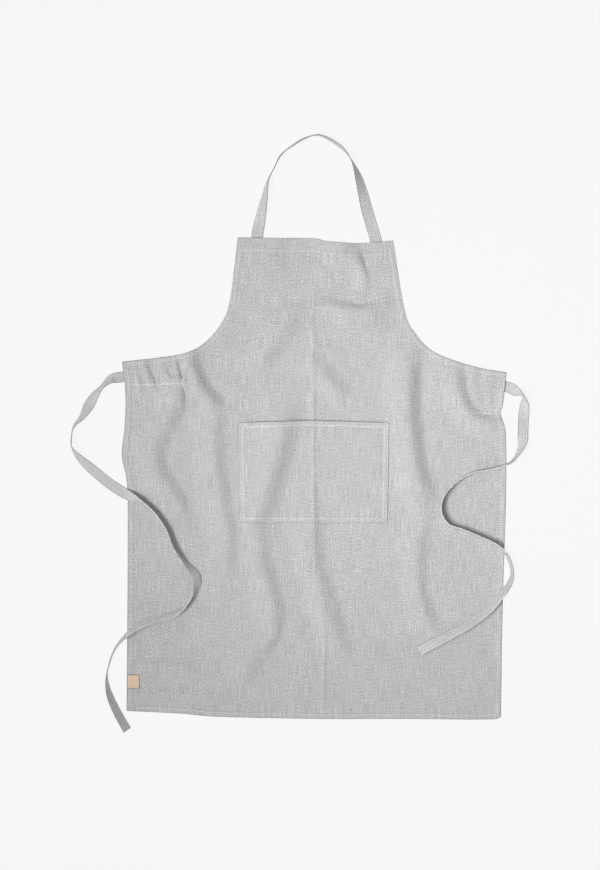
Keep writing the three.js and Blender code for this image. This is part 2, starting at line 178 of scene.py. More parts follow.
def smooth_run(points, steps):
    """A smooth curve through points, in this many steps from each to the next."""
    points = np.asarray(points, float)
    before = np.vstack([2 * points[0] - points[1], points[:-2]])[:, None]
    start, end = points[:-1, None], points[1:, None]
    after = np.vstack([points[2:], 2 * points[-1] - points[-2]])[:, None]
    share = np.linspace(0, 1, steps, endpoint=False)[None, :, None]
    bow = 2 * before - 5 * start + 4 * end - after
    turn = 3 * start - before - 3 * end + after
    curve = start + share * ((end - before) + share * (bow + share * turn)) / 2
    return np.vstack([curve.reshape(-1, points.shape[1]), points[-1]])


def evenly(line, spacing):
    """The same line through points about this far apart, with its ends kept."""
    along = np.r_[0, np.cumsum(np.linalg.norm(np.diff(line[:, :2], axis=0), axis=1))]
    places = np.linspace(0, along[-1], max(1, round(along[-1] / spacing)) + 1)
    return np.column_stack([np.interp(places, along, column) for column in line.T])


def cut_line(edges, spacing):
    """The closed line round a piece, anticlockwise, from the curves of its edges."""
    corner = edges[-1]["via"][-1]
    runs = []
    for edge in edges:
        runs.append(evenly(smooth_run([corner, *edge["via"]], CURVE_STEPS), spacing)[:-1])
        corner = edge["via"][-1]
    return np.vstack(runs)


def nearest_on(line, places):
    """Of each place: its distance from a line, its side with left positive, and how far along it is."""
    distance = np.full(len(places), np.inf)
    side = np.zeros(len(places))
    along = np.zeros(len(places))
    for step, (start, end) in enumerate(zip(line[:-1], line[1:])):
        run = end - start
        offset = places - start
        share = np.clip(offset @ run / (run @ run), 0, 1)
        gap = np.linalg.norm(offset - share[:, None] * run, axis=1)
        nearer = gap < distance
        distance[nearer] = gap[nearer]
        side[nearer] = (run[0] * offset[:, 1] - run[1] * offset[:, 0])[nearer]
        along[nearer] = (step + share[nearer]) / (len(line) - 1)
    return distance, side, along


def closed(loop):
    return np.vstack([loop, loop[:1]])


def inside(loop, places):
    """Whether each place is inside a closed line."""
    within = np.zeros(len(places), bool)
    x, y = places.T
    for (ax, ay), (bx, by) in zip(loop, np.roll(loop, -1, axis=0)):
        if ay != by:
            within ^= ((ay > y) != (by > y)) & (x < ax + (bx - ax) * (y - ay) / (by - ay))
    return within


INSET_TRIM = 0.98


def inset(loop, depth):
    """The line that runs at this depth inside a closed line, mitred and trimmed at its corners."""
    run = np.roll(loop, -1, axis=0) - loop
    inward = np.column_stack([-run[:, 1], run[:, 0]]) / np.linalg.norm(run, axis=1, keepdims=True)
    before = np.roll(inward, 1, axis=0)
    line = loop + depth * (inward + before) / (1 + (inward * before).sum(1, keepdims=True))
    return line[nearest_on(closed(loop), line)[0] > depth * INSET_TRIM]


def ease(value):
    held = np.clip(value, 0, 1)
    return held * held * (3 - 2 * held)


def cloth_height(places):
    """How high the panel's underside lies over the table."""
    x, y = places.T
    lifted = np.zeros(len(places))
    for lift in LIFTS:
        beside = np.maximum(np.maximum(lift["left"] - x, x - lift["right"]), 0)
        above = np.maximum(np.maximum(lift["low"] - y, y - lift["high"]), 0)
        lifted = np.maximum(lifted, lift["height"] * ease(1 - np.hypot(beside, above) / LIFT_FADE))
    height = lifted.copy()
    for fold in FOLDS:
        distance, side, along = nearest_on(smooth_run(fold["via"], FOLD_STEPS), places)
        away = np.clip(distance / np.where(side > 0, fold["drop"], fold["rise"]), 0, 1)
        tucked = np.where(side > 0, fold["tucked"], 0)
        profile = (1 - tucked) * ease(1 - away) + tucked * (1 - away**2)
        height += fold["high"] * ease(np.minimum(along, 1 - along) / FOLD_END) * profile
    for crease in CREASES:
        distance, _, along = nearest_on(smooth_run(crease["via"], FOLD_STEPS), places)
        sharp = np.clip(1 - distance / crease["reach"], 0, 1) ** 2
        height += crease["high"] * ease(np.minimum(along, 1 - along) / FOLD_END) * sharp
    for crumple in CRUMPLES:
        size, layer = crumple["size"], crumple["layer"]
        hills = [noise.noise((px / size, py / size, layer)) for px, py in places]
        height += crumple["high"] * (np.array(hills) + CRUMPLE_BASE)
    return np.maximum(height, np.maximum(lifted - LIFT_SLACK, 0))


def hemmed_wall(depth):
    """Thickness of the linen by its depth from the edge: a rounded lip, the turned hem, then one layer."""
    lip = np.clip(1 - depth / LIP, 0, 1)
    layers = LINEN_WALL + HEM_RISE * ease((HEM_WIDTH + HEM_FADE - depth) / HEM_FADE)
    return layers * np.maximum(np.sqrt(1 - lip**2), LIP_LEAST)


def make_piece(name, points, faces, weave, hem_tone_and_painted_light, material):
    """A mesh object in the frame, with the map that its weave runs along and an attribute for its paler
    hems with painted light and shade.
    """
    mesh = bpy.data.meshes.new(name)
    mesh.from_pydata((np.asarray(points) * MM).tolist(), [], faces)
    corners = np.empty(len(mesh.loops), np.int32)
    mesh.loops.foreach_get("vertex_index", corners)
    layer = mesh.uv_layers.new(name="weave")
    layer.data.foreach_set("uv", (np.asarray(weave)[corners] * MM).ravel())
    light = mesh.attributes.new("hem_tone_and_painted_light", "FLOAT", "POINT")
    light.data.foreach_set("value", np.asarray(hem_tone_and_painted_light, np.float32))
    mesh.shade_smooth()
    mesh.materials.append(material)
    piece = bpy.data.objects.new(name, mesh)
    bpy.context.scene.collection.objects.link(piece)
    return piece


def crease_rows():
    """Close rows of places along the sharp creases, and the lines that they follow."""
    rows, lines = [], []
    for crease in CREASES:
        if crease["reach"] <= SHARP_REACH:
            line = evenly(smooth_run(crease["via"], CURVE_STEPS), SHARP_SPACING)
            heading = np.gradient(line, axis=0)
            beside = np.column_stack([-heading[:, 1], heading[:, 0]])
            beside /= np.linalg.norm(beside, axis=1, keepdims=True)
            rows += [line + beside * offset for offset in SHARP_OFFSETS]
            lines.append(line)
    return np.vstack(rows), lines


FILL_INSIDE = 1
MERGE_WITHIN = 1e-6


def cloth_piece(name, loop, rings, spacing, underside, wall, tone_and_painted_light_of, weave_shift, material):
    """A closed sheet inside a cut line, with fine rows along its edge and creases and an even net."""
    edge_rows = [inset(loop, depth) for depth in rings]
    low, high = loop.min(axis=0), loop.max(axis=0)
    rows = np.arange(low[1], high[1], spacing * np.sqrt(3) / 2)
    columns = np.arange(low[0], high[0], spacing)
    net = np.vstack([
        np.column_stack([columns + row % 2 * spacing / 2, np.full(len(columns), y)])
        for row, y in enumerate(rows)
    ])
    sharp_rows, sharp_lines = crease_rows()
    for line in sharp_lines:
        net = net[nearest_on(line, net)[0] > SHARP_CLEAR]
    net = np.vstack([net, sharp_rows])
    net = net[inside(loop, net)]
    net = net[nearest_on(closed(loop), net)[0] > rings[-1] + spacing / 2]
    places = np.vstack([loop, *edge_rows, net])
    spots = [Vector(place) for place in places]
    found = delaunay_2d_cdt(spots, [], [range(len(loop))], FILL_INSIDE, MERGE_WITHIN)
    places = np.array([tuple(place) for place in found[0]])
    triangles = np.array(found[2])
    depth = nearest_on(closed(loop), places)[0]
    under = underside(places)
    over = under + wall(depth)
    count = len(places)
    edges = {tuple(edge) for a, b, c in triangles.tolist() for edge in ((a, b), (b, c), (c, a))}
    walls = [(a, b, b + count, a + count) for a, b in sorted(edges) if (b, a) not in edges]
    faces = triangles[:, ::-1].tolist() + (triangles + count).tolist() + walls
    points = np.vstack([np.column_stack([places, under]), np.column_stack([places, over])])
    weave = np.vstack([places, places]) + weave_shift
    return make_piece(name, points, faces, weave, np.tile(tone_and_painted_light_of(places, depth), 2), material)


LINEN_GREY = (0.53, 0.53, 0.528)
WEAVE_LAYERS = [
    dict(layer="warp slubs", scale=(700, 26), detail=2, depth=0.75),
    dict(layer="weft slubs", scale=(34, 700), detail=2, depth=0.5),
    dict(layer="flecks", scale=(660, 600), detail=2, depth=2.55),
    dict(layer="uneven dye", scale=(14, 11), detail=2, depth=0.10),
]
NEPS = [
    dict(nep="pale", cells=72, least=0.0, most=0.2, gain=0.26),
    dict(nep="dark", cells=72, least=0.8, most=1.0, gain=-0.22),
]
NEP_RADIUS = 0.08
NEP_DRAWN = (1.0, 0.75, 1.0)
THREADS_PER_METRE = 1100
WEAVE_BUMP = 0.3
WEAVE_DEPTH = 0.0004
# How much the paler hems and the painted light and shade at edges and seams change the linen's colour.
HEM_TONE_AND_PAINTED_LIGHT_GAIN = 0.07
LINEN_ROUGHNESS = 0.92
LINEN_SPECULAR = 0.15
LINEN_SHEEN = 0.08


def sum_node(nodes, links, operation, *terms):
    """A node that works out one number from others, each a number or another node's output."""
    node = nodes.new("ShaderNodeMath")
    node.operation = operation
    for place, term in zip(node.inputs, terms):
        if isinstance(term, (int, float)):
            place.default_value = term
        else:
            links.new(term, place)
    return node.outputs[0]


def drawn_noise(nodes, links, uv, scale, detail):
    """Noise drawn out along the threads of the weave."""
    stretch = nodes.new("ShaderNodeMapping")
    stretch.inputs["Scale"].default_value = (*scale, 1)
    streaks = nodes.new("ShaderNodeTexNoise")
    streaks.inputs["Scale"].default_value = 1
    streaks.inputs["Detail"].default_value = detail
    links.new(uv, stretch.inputs["Vector"])
    links.new(stretch.outputs["Vector"], streaks.inputs["Vector"])
    return streaks.outputs["Fac"]


def linen_material():
    """Plain weave: threads over and under each other, with thick places, flecks and knots in the yarn."""
    material = bpy.data.materials.new("grey_linen")
    material.use_nodes = True
    nodes, links = material.node_tree.nodes, material.node_tree.links
    shader = nodes["Principled BSDF"]
    uv = nodes.new("ShaderNodeUVMap")
    uv.uv_map = "weave"
    shade = 1.0
    for row in WEAVE_LAYERS:
        streaks = drawn_noise(nodes, links, uv.outputs["UV"], row["scale"], row["detail"])
        part = sum_node(nodes, links, "MULTIPLY_ADD", streaks, row["depth"], 1 - row["depth"] / 2)
        shade = sum_node(nodes, links, "MULTIPLY", shade, part)
    drawn = nodes.new("ShaderNodeMapping")
    drawn.inputs["Scale"].default_value = NEP_DRAWN
    links.new(uv.outputs["UV"], drawn.inputs["Vector"])
    for row in NEPS:
        cells = nodes.new("ShaderNodeTexVoronoi")
        cells.inputs["Scale"].default_value = row["cells"]
        links.new(drawn.outputs["Vector"], cells.inputs["Vector"])
        pick = nodes.new("ShaderNodeSeparateColor")
        links.new(cells.outputs["Color"], pick.inputs["Color"])
        above = sum_node(nodes, links, "GREATER_THAN", pick.outputs["Red"], row["least"])
        below = sum_node(nodes, links, "LESS_THAN", pick.outputs["Red"], row["most"])
        near = sum_node(nodes, links, "LESS_THAN", cells.outputs["Distance"], NEP_RADIUS)
        chosen = sum_node(nodes, links, "MULTIPLY", above, below)
        spot = sum_node(nodes, links, "MULTIPLY", chosen, near)
        gain = sum_node(nodes, links, "MULTIPLY_ADD", spot, row["gain"], 1.0)
        shade = sum_node(nodes, links, "MULTIPLY", shade, gain)
    # The piece's attribute makes the hems a little paler and paints shade at edges and seams and highlights
    # on seams and upright strap edges.
    hem_tone_and_painted_light = nodes.new("ShaderNodeAttribute")
    hem_tone_and_painted_light.attribute_name = "hem_tone_and_painted_light"
    paler = sum_node(nodes, links, "MULTIPLY_ADD", hem_tone_and_painted_light.outputs["Fac"], HEM_TONE_AND_PAINTED_LIGHT_GAIN, 1.0)
    shade = sum_node(nodes, links, "MULTIPLY", shade, paler)
    colour = nodes.new("ShaderNodeVectorMath")
    colour.operation = "SCALE"
    colour.inputs[0].default_value = LINEN_GREY
    links.new(shade, colour.inputs["Scale"])
    links.new(colour.outputs[0], shader.inputs["Base Color"])
    threads = nodes.new("ShaderNodeSeparateXYZ")
    links.new(uv.outputs["UV"], threads.inputs["Vector"])
    turns = THREADS_PER_METRE * np.pi
    warp = sum_node(nodes, links, "SINE", sum_node(nodes, links, "MULTIPLY", threads.outputs["X"], turns))
    weft = sum_node(nodes, links, "SINE", sum_node(nodes, links, "MULTIPLY", threads.outputs["Y"], turns))
    crossing = sum_node(nodes, links, "MULTIPLY", warp, weft)
    bump = nodes.new("ShaderNodeBump")
    bump.inputs["Strength"].default_value = WEAVE_BUMP
    bump.inputs["Distance"].default_value = WEAVE_DEPTH
    links.new(crossing, bump.inputs["Height"])
    links.new(bump.outputs["Normal"], shader.inputs["Normal"])
    shader.inputs["Roughness"].default_value = LINEN_ROUGHNESS
    shader.inputs["Specular IOR Level"].default_value = LINEN_SPECULAR
    shader.inputs["Sheen Weight"].default_value = LINEN_SHEEN
    return material


THREAD_GREY = (0.92, 0.92, 0.91)
THREAD_TWIST = 2600
THREAD_SHADE = 0.3
THREAD_BUMP = 0.4
THREAD_DEPTH = 0.0001
STITCHES = {
    "Stitch pitch": 3.2 * MM,
    "Stitch length": 2.5 * MM,
    "Thread thickness": 0.9 * MM,
    "Unevenness": 0.15,
}
STITCH_SEED = 11
STITCH_SIDES = 6
STITCH_RINGS = 4
UNIT_RADIUS = 0.5


def thread_material():
    """Pale sewing thread, with painted shade in the dips between its twisted strands."""
    material = bpy.data.materials.new("pale_thread")
    material.use_nodes = True
    nodes, links = material.node_tree.nodes, material.node_tree.links
    shader = nodes["Principled BSDF"]
    place = nodes.new("ShaderNodeTexCoord")
    twist = nodes.new("ShaderNodeTexNoise")
    twist.inputs["Scale"].default_value = THREAD_TWIST
    links.new(place.outputs["Object"], twist.inputs["Vector"])
    # The twist noise darkens the thread where its bump dips: painted shade between strands.
    shade = sum_node(nodes, links, "MULTIPLY_ADD", twist.outputs["Fac"], THREAD_SHADE, 1 - THREAD_SHADE / 2)
    colour = nodes.new("ShaderNodeVectorMath")
    colour.operation = "SCALE"
    colour.inputs[0].default_value = THREAD_GREY
    links.new(shade, colour.inputs["Scale"])
    links.new(colour.outputs[0], shader.inputs["Base Color"])
    bump = nodes.new("ShaderNodeBump")
    bump.inputs["Strength"].default_value = THREAD_BUMP
    bump.inputs["Distance"].default_value = THREAD_DEPTH
    links.new(twist.outputs["Fac"], bump.inputs["Height"])
    links.new(bump.outputs["Normal"], shader.inputs["Normal"])
    shader.inputs["Roughness"].default_value = LINEN_ROUGHNESS
    return material


def stitch_tree(thread):
    """Stitches laid end to end along lines, each a short length of thread that dips at both ends."""
    tree = bpy.data.node_groups.new("rows_of_stitches", "GeometryNodeTree")
    tree.interface.new_socket("Seams", in_out="INPUT", socket_type="NodeSocketGeometry")
    for label in STITCHES:
        tree.interface.new_socket(label, in_out="INPUT", socket_type="NodeSocketFloat")
    tree.interface.new_socket("Stitches", in_out="OUTPUT", socket_type="NodeSocketGeometry")
    nodes, links = tree.nodes, tree.links
    given = nodes.new("NodeGroupInput")
    made = nodes.new("NodeGroupOutput")
    seams = nodes.new("GeometryNodeMeshToCurve")
    spaced = nodes.new("GeometryNodeResampleCurve")
    spaced.mode = "LENGTH"
    stitch = nodes.new("GeometryNodeMeshUVSphere")
    stitch.inputs["Segments"].default_value = STITCH_SIDES
    stitch.inputs["Rings"].default_value = STITCH_RINGS
    stitch.inputs["Radius"].default_value = UNIT_RADIUS
    heading = nodes.new("GeometryNodeInputTangent")
    turned = nodes.new("FunctionNodeAlignRotationToVector")
    turned.axis = "X"
    uneven = nodes.new("FunctionNodeRandomValue")
    uneven.data_type = "FLOAT"
    uneven.inputs["Seed"].default_value = STITCH_SEED
    least = sum_node(nodes, links, "SUBTRACT", 1.0, given.outputs["Unevenness"])
    links.new(least, uneven.inputs[2])
    uneven.inputs[3].default_value = 1.0
    length = sum_node(nodes, links, "MULTIPLY", given.outputs["Stitch length"], uneven.outputs[1])
    size = nodes.new("ShaderNodeCombineXYZ")
    links.new(length, size.inputs["X"])
    links.new(given.outputs["Thread thickness"], size.inputs["Y"])
    links.new(given.outputs["Thread thickness"], size.inputs["Z"])
    laid = nodes.new("GeometryNodeInstanceOnPoints")
    real = nodes.new("GeometryNodeRealizeInstances")
    smooth = nodes.new("GeometryNodeSetShadeSmooth")
    coloured = nodes.new("GeometryNodeSetMaterial")
    coloured.inputs["Material"].default_value = thread
    links.new(given.outputs["Seams"], seams.inputs["Mesh"])
    links.new(seams.outputs["Curve"], spaced.inputs["Curve"])
    links.new(given.outputs["Stitch pitch"], spaced.inputs["Length"])
    links.new(spaced.outputs["Curve"], laid.inputs["Points"])
    links.new(stitch.outputs["Mesh"], laid.inputs["Instance"])
    links.new(heading.outputs["Tangent"], turned.inputs["Vector"])
    links.new(turned.outputs["Rotation"], laid.inputs["Rotation"])
    links.new(size.outputs["Vector"], laid.inputs["Scale"])
    links.new(laid.outputs["Instances"], real.inputs["Geometry"])
    links.new(real.outputs["Geometry"], smooth.inputs["Geometry"])
    links.new(smooth.outputs["Geometry"], coloured.inputs["Geometry"])
    links.new(coloured.outputs["Geometry"], made.inputs["Stitches"])
    return tree


linen = linen_material()
stitches = stitch_tree(thread_material())


def sew(name, seams):
    """One body of stitches along the lines of its seams."""
    ends = np.cumsum([len(seam) for seam in seams])
    links = [(step, step + 1) for step in range(ends[-1] - 1) if step + 1 not in ends]
    guide_mesh = bpy.data.meshes.new(name + "_guide")
    guide_mesh.from_pydata((np.vstack(seams) * MM).tolist(), links, [])
    guide = bpy.data.objects.new(name + "_guide", guide_mesh)
    bpy.context.scene.collection.objects.link(guide)
    rows = guide.modifiers.new("stitches", "NODES")
    rows.node_group = stitches
    for socket in stitches.interface.items_tree:
        if socket.name in STITCHES:
            rows[socket.identifier] = STITCHES[socket.name]
    bpy.context.view_layer.update()
    graph = bpy.context.evaluated_depsgraph_get()
    mesh = bpy.data.meshes.new_from_object(guide.evaluated_get(graph), depsgraph=graph)
    bpy.data.objects.remove(guide)
    thread = bpy.data.objects.new(name, mesh)
    bpy.context.scene.collection.objects.link(thread)
    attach(thread, "root")
    return thread


HEM_SEAM = 8.2
BIB_HEM = 24
# The light of each seam row is a painted highlight on the linen along its stitches.
PANEL_SEAMS = [
    dict(seam="left tunnel", light=2, via=[(-318, 90), (-288, 90), (-239, 92), (-215, 92)]),
    dict(seam="right tunnel", light=1.5, via=[(302, 40), (335, 37), (366, 36)]),
]
# The strap end's light is also a painted highlight along its line.
STRAP_END = dict(seam="left strap end", light=1, via=[(-69, 372), (-69, 330), (-70, 242)])
SEAM_SPACING = 3.0
SEAM_REACH = 1.5
BIB_FOOT = 150
BIB_FADE = 60
BIB_SHARE = 0.3
PANEL_WEAVE = (0, 0)
panel_loop = cut_line(PANEL_EDGES, EDGE_SPACING)


def seam_line(row):
    return evenly(smooth_run(row["via"], CURVE_STEPS), SEAM_SPACING)


def hem_light(rows, depth):
    return np.interp(depth, [row["depth"] for row in rows], [row["light"] for row in rows])


def panel_hem_tone_and_painted_light(places, depth):
    """How pale the hem band is, with painted shade at the very edge and along the hem's seam and painted
    highlights along the seams; the bib's hem shows least.
    """
    skirt = ease((BIB_FOOT + BIB_FADE - places[:, 1]) / BIB_FADE)
    light = hem_light(PANEL_HEM_TONE_AND_PAINTED_SHADE, depth) * (BIB_SHARE + (1 - BIB_SHARE) * skirt)
    for row in (*PANEL_SEAMS, STRAP_END):
        light += row["light"] * (nearest_on(seam_line(row), places)[0] < SEAM_REACH)
    return light


panel = cloth_piece(
    "panel_linen", panel_loop, PANEL_RINGS, PANEL_SPACING, cloth_height, hemmed_wall, panel_hem_tone_and_painted_light,
    PANEL_WEAVE, linen,
)
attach(panel, "root")
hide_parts("apron_panel")


def panel_front(places):
    """Height of the panel's front face."""
    depth = nearest_on(closed(panel_loop), places)[0]
    return cloth_height(places) + hemmed_wall(np.where(inside(panel_loop, places), depth, 0))


def on_front(line, front):
    """A line drawn on a piece, laid on its front face."""
    return np.column_stack([line, front(line)])


bib_top = evenly(smooth_run([PANEL_EDGES[2]["via"][-1], *PANEL_EDGES[3]["via"]], CURVE_STEPS), SEAM_SPACING)
bib_seam = bib_top - (0, BIB_HEM)
bib_seam = bib_seam[nearest_on(closed(panel_loop), bib_seam)[0] > HEM_SEAM]
hem_seam = inset(panel_loop, HEM_SEAM)
past_bib = nearest_on(bib_top, hem_seam)[0] > BIB_HEM
first = np.flatnonzero(past_bib & ~np.roll(past_bib, 1))[0]
hem_seam = np.roll(hem_seam, -first, axis=0)[np.roll(past_bib, -first)]
sewn_lines = [hem_seam, bib_seam, *(seam_line(row) for row in PANEL_SEAMS)]
panel_thread = sew("panel_thread", [on_front(line, panel_front) for line in sewn_lines])


# Facings: a strip of the same linen behind each waist corner, sewn along its lower edge.
# Between it and the panel is the tunnel that the tie runs through.
FACINGS = [
    dict(
        node="left_facing", flat=(0.116, 0.06),
        edges=[
            dict(edge="lower", via=[(-323, 88), (-214, 90)]),
            dict(edge="inner", via=[(-214, 147)]),
            dict(edge="upper", via=[(-266, 138), (-329, 131)]),
            dict(edge="outer", via=[(-323, 88)]),
        ],
    ),
    dict(
        node="right_facing", flat=(0.092, 0.1),
        edges=[
            dict(edge="lower", via=[(372, 34)]),
            dict(edge="outer", via=[(383, 111)]),
            dict(edge="upper", via=[(342, 118), (292, 131)]),
            dict(edge="inner", via=[(300, 32)]),
        ],
    ),
]
FACING_RINGS = (0.35, 0.9, 3.0)
FACING_WEAVE = (150, 90)
OFF_TABLE = 0.2


def on_table(places):
    return np.full(len(places), OFF_TABLE)


def no_hem_tone_or_painted_light(places, depth):
    return np.zeros(len(places))


def single_wall(depth):
    """Thickness of one layer of linen, with its edge rounded off."""
    lip = np.clip(1 - depth / LIP, 0, 1)
    return LINEN_WALL * np.maximum(np.sqrt(1 - lip**2), LIP_LEAST)


for row in FACINGS:
    facing = cloth_piece(
        row["node"] + "_linen", cut_line(row["edges"], EDGE_SPACING), FACING_RINGS, PANEL_SPACING,
        on_table, single_wall, no_hem_tone_or_painted_light, FACING_WEAVE, linen,
    )
    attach(facing, "root")
    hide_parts(row["node"])


# Pocket: a patch of the same linen with its edges turned under, sewn to the panel at its sides and bottom.
# Its mouth is hemmed and stands a little off the panel, and the panel's folds run on through it.
POCKET_EDGES = [
    dict(edge="bottom", via=[(164, -168)]),
    dict(edge="right side", via=[(167, 20)]),
    dict(edge="mouth", via=[(23, 24), (-18, 23), (-116, 20)]),
    dict(edge="left side", via=[(-113, -167)]),
]
POCKET_SEAM = 8.4
POCKET_SPACING = 3.0
POCKET_WEAVE = (310, 170)
# Paler hem band and a painted highlight along the seam, with painted shade at the very edge.
POCKET_HEM_TONE_AND_PAINTED_LIGHT = [
    dict(depth=0.9, light=-2), dict(depth=1.8, light=0.5), dict(depth=7, light=0.6),
    dict(depth=8, light=1.7), dict(depth=9.2, light=1.7), dict(depth=10.4, light=0),
]
MOUTH_OPEN = 3.0
MOUTH_EASE = 24
MOUTH_GAPES = [
    dict(gape="left of the fold", at=-67, reach=44, high=2.5),
    dict(gape="over the fold", at=2, reach=30, high=2.5),
]
GAPE_DEPTH = 46
GAP = 0.3
pocket_loop = cut_line(POCKET_EDGES, EDGE_SPACING)
pocket_low, pocket_high = pocket_loop.min(axis=0), pocket_loop.max(axis=0)


def pocket_underside(places):
    """Height of the pocket's back, which leaves the panel towards the mouth."""
    x, y = places.T
    from_side = np.minimum(x - pocket_low[0], pocket_high[0] - x) / MOUTH_EASE
    up = (y - pocket_low[1]) / (pocket_high[1] - pocket_low[1])
    height = panel_front(places) + GAP + MOUTH_OPEN * ease(from_side) * ease(up)
    near_mouth = ease(1 - (pocket_high[1] - y) / GAPE_DEPTH)
    for gape in MOUTH_GAPES:
        height += gape["high"] * near_mouth * ease(1 - abs(x - gape["at"]) / gape["reach"])
    return height


# Paler hem band, painted highlight along the seam and painted shade at the pocket's edge.
def pocket_hem_tone_and_painted_light(places, depth):
    return hem_light(POCKET_HEM_TONE_AND_PAINTED_LIGHT, depth)


def pocket_front(places):
    return pocket_underside(places) + hemmed_wall(nearest_on(closed(pocket_loop), places)[0])


pocket = cloth_piece(
    "pocket_linen", pocket_loop, PANEL_RINGS, POCKET_SPACING, pocket_underside, hemmed_wall, pocket_hem_tone_and_painted_light,
    POCKET_WEAVE, linen,
)
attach(pocket, "root")
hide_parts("pocket")
pocket_thread = sew("pocket_thread", [on_front(closed(inset(pocket_loop, POCKET_SEAM)), pocket_front)])


# Leather tab: a small square of pale undyed leather on the front at the left side, near the hem.
# It is cut clean from hide, darker at its cut edge, and left bare.
TAB = dict(left=-322.5, right=-300, bottom=-477, top=-451)
LEATHER_WALL = 1.2
LEATHER_SPACING = 1.5
LEATHER_RINGS = (0.3, 0.8, 1.6)
LEATHER_TAN = (0.74, 0.56, 0.39, 1)
LEATHER_RIM = (0.22, 0.13, 0.08, 1)
RIM_SHARE = (0.9, 0.97)
GRAIN_CELLS = 900
GRAIN_SHADE = 0.3
GRAIN_BUMP = 0.35
GRAIN_DEPTH = 0.0002
HIDE_SCALE = 160
HIDE_DETAIL = 3
LEATHER_ROUGHNESS = 0.62


def leather_wall(depth):
    lip = np.clip(1 - depth / LIP, 0, 1)
    return LEATHER_WALL * np.maximum(np.sqrt(1 - lip**2), LIP_LEAST)


def tab_underside(places):
    return panel_front(places) + GAP


def leather_material():
    """Vegetable-tanned hide with fine pores, mottled, and brown along the cut."""
    material = bpy.data.materials.new("undyed_leather")
    material.use_nodes = True
    nodes, links = material.node_tree.nodes, material.node_tree.links
    shader = nodes["Principled BSDF"]
    uv = nodes.new("ShaderNodeUVMap")
    uv.uv_map = "weave"
    pores = nodes.new("ShaderNodeTexVoronoi")
    pores.inputs["Scale"].default_value = GRAIN_CELLS
    links.new(uv.outputs["UV"], pores.inputs["Vector"])
    hide = drawn_noise(nodes, links, uv.outputs["UV"], (HIDE_SCALE, HIDE_SCALE), HIDE_DETAIL)
    grain = sum_node(nodes, links, "ADD", hide, pores.outputs["Distance"])
    shade = sum_node(nodes, links, "MULTIPLY_ADD", grain, GRAIN_SHADE, 1 - GRAIN_SHADE)
    sides = nodes.new("ShaderNodeSeparateXYZ")
    links.new(uv.outputs["UV"], sides.inputs["Vector"])
    half_width = (TAB["right"] - TAB["left"]) / 2 * MM
    half_height = (TAB["top"] - TAB["bottom"]) / 2 * MM
    across = sum_node(nodes, links, "DIVIDE", sides.outputs["X"], half_width)
    across = sum_node(nodes, links, "ABSOLUTE", across)
    along = sum_node(nodes, links, "DIVIDE", sides.outputs["Y"], half_height)
    along = sum_node(nodes, links, "ABSOLUTE", along)
    rim = nodes.new("ShaderNodeMapRange")
    rim.inputs["From Min"].default_value, rim.inputs["From Max"].default_value = RIM_SHARE
    links.new(sum_node(nodes, links, "MAXIMUM", across, along), rim.inputs["Value"])
    mixed = nodes.new("ShaderNodeMix")
    mixed.data_type = "RGBA"
    mixed.inputs["A"].default_value = LEATHER_TAN
    mixed.inputs["B"].default_value = LEATHER_RIM
    links.new(rim.outputs["Result"], mixed.inputs["Factor"])
    colour = nodes.new("ShaderNodeVectorMath")
    colour.operation = "SCALE"
    links.new(mixed.outputs["Result"], colour.inputs[0])
    links.new(shade, colour.inputs["Scale"])
    links.new(colour.outputs[0], shader.inputs["Base Color"])
    bump = nodes.new("ShaderNodeBump")
    bump.inputs["Strength"].default_value = GRAIN_BUMP
    bump.inputs["Distance"].default_value = GRAIN_DEPTH
    links.new(grain, bump.inputs["Height"])
    links.new(bump.outputs["Normal"], shader.inputs["Normal"])
    shader.inputs["Roughness"].default_value = LEATHER_ROUGHNESS
    return material


tab_edges = [
    dict(edge="bottom", via=[(TAB["right"], TAB["bottom"])]),
    dict(edge="right", via=[(TAB["right"], TAB["top"])]),
    dict(edge="top", via=[(TAB["left"], TAB["top"])]),
    dict(edge="left", via=[(TAB["left"], TAB["bottom"])]),
]
tab_middle = np.array([TAB["left"] + TAB["right"], TAB["bottom"] + TAB["top"]]) / 2
tab = cloth_piece(
    "tab_leather", cut_line(tab_edges, LEATHER_SPACING), LEATHER_RINGS, LEATHER_SPACING,
    tab_underside, leather_wall, no_hem_tone_or_painted_light, -tab_middle, leather_material(),
)
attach(tab, "root")
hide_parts("leather_tab")


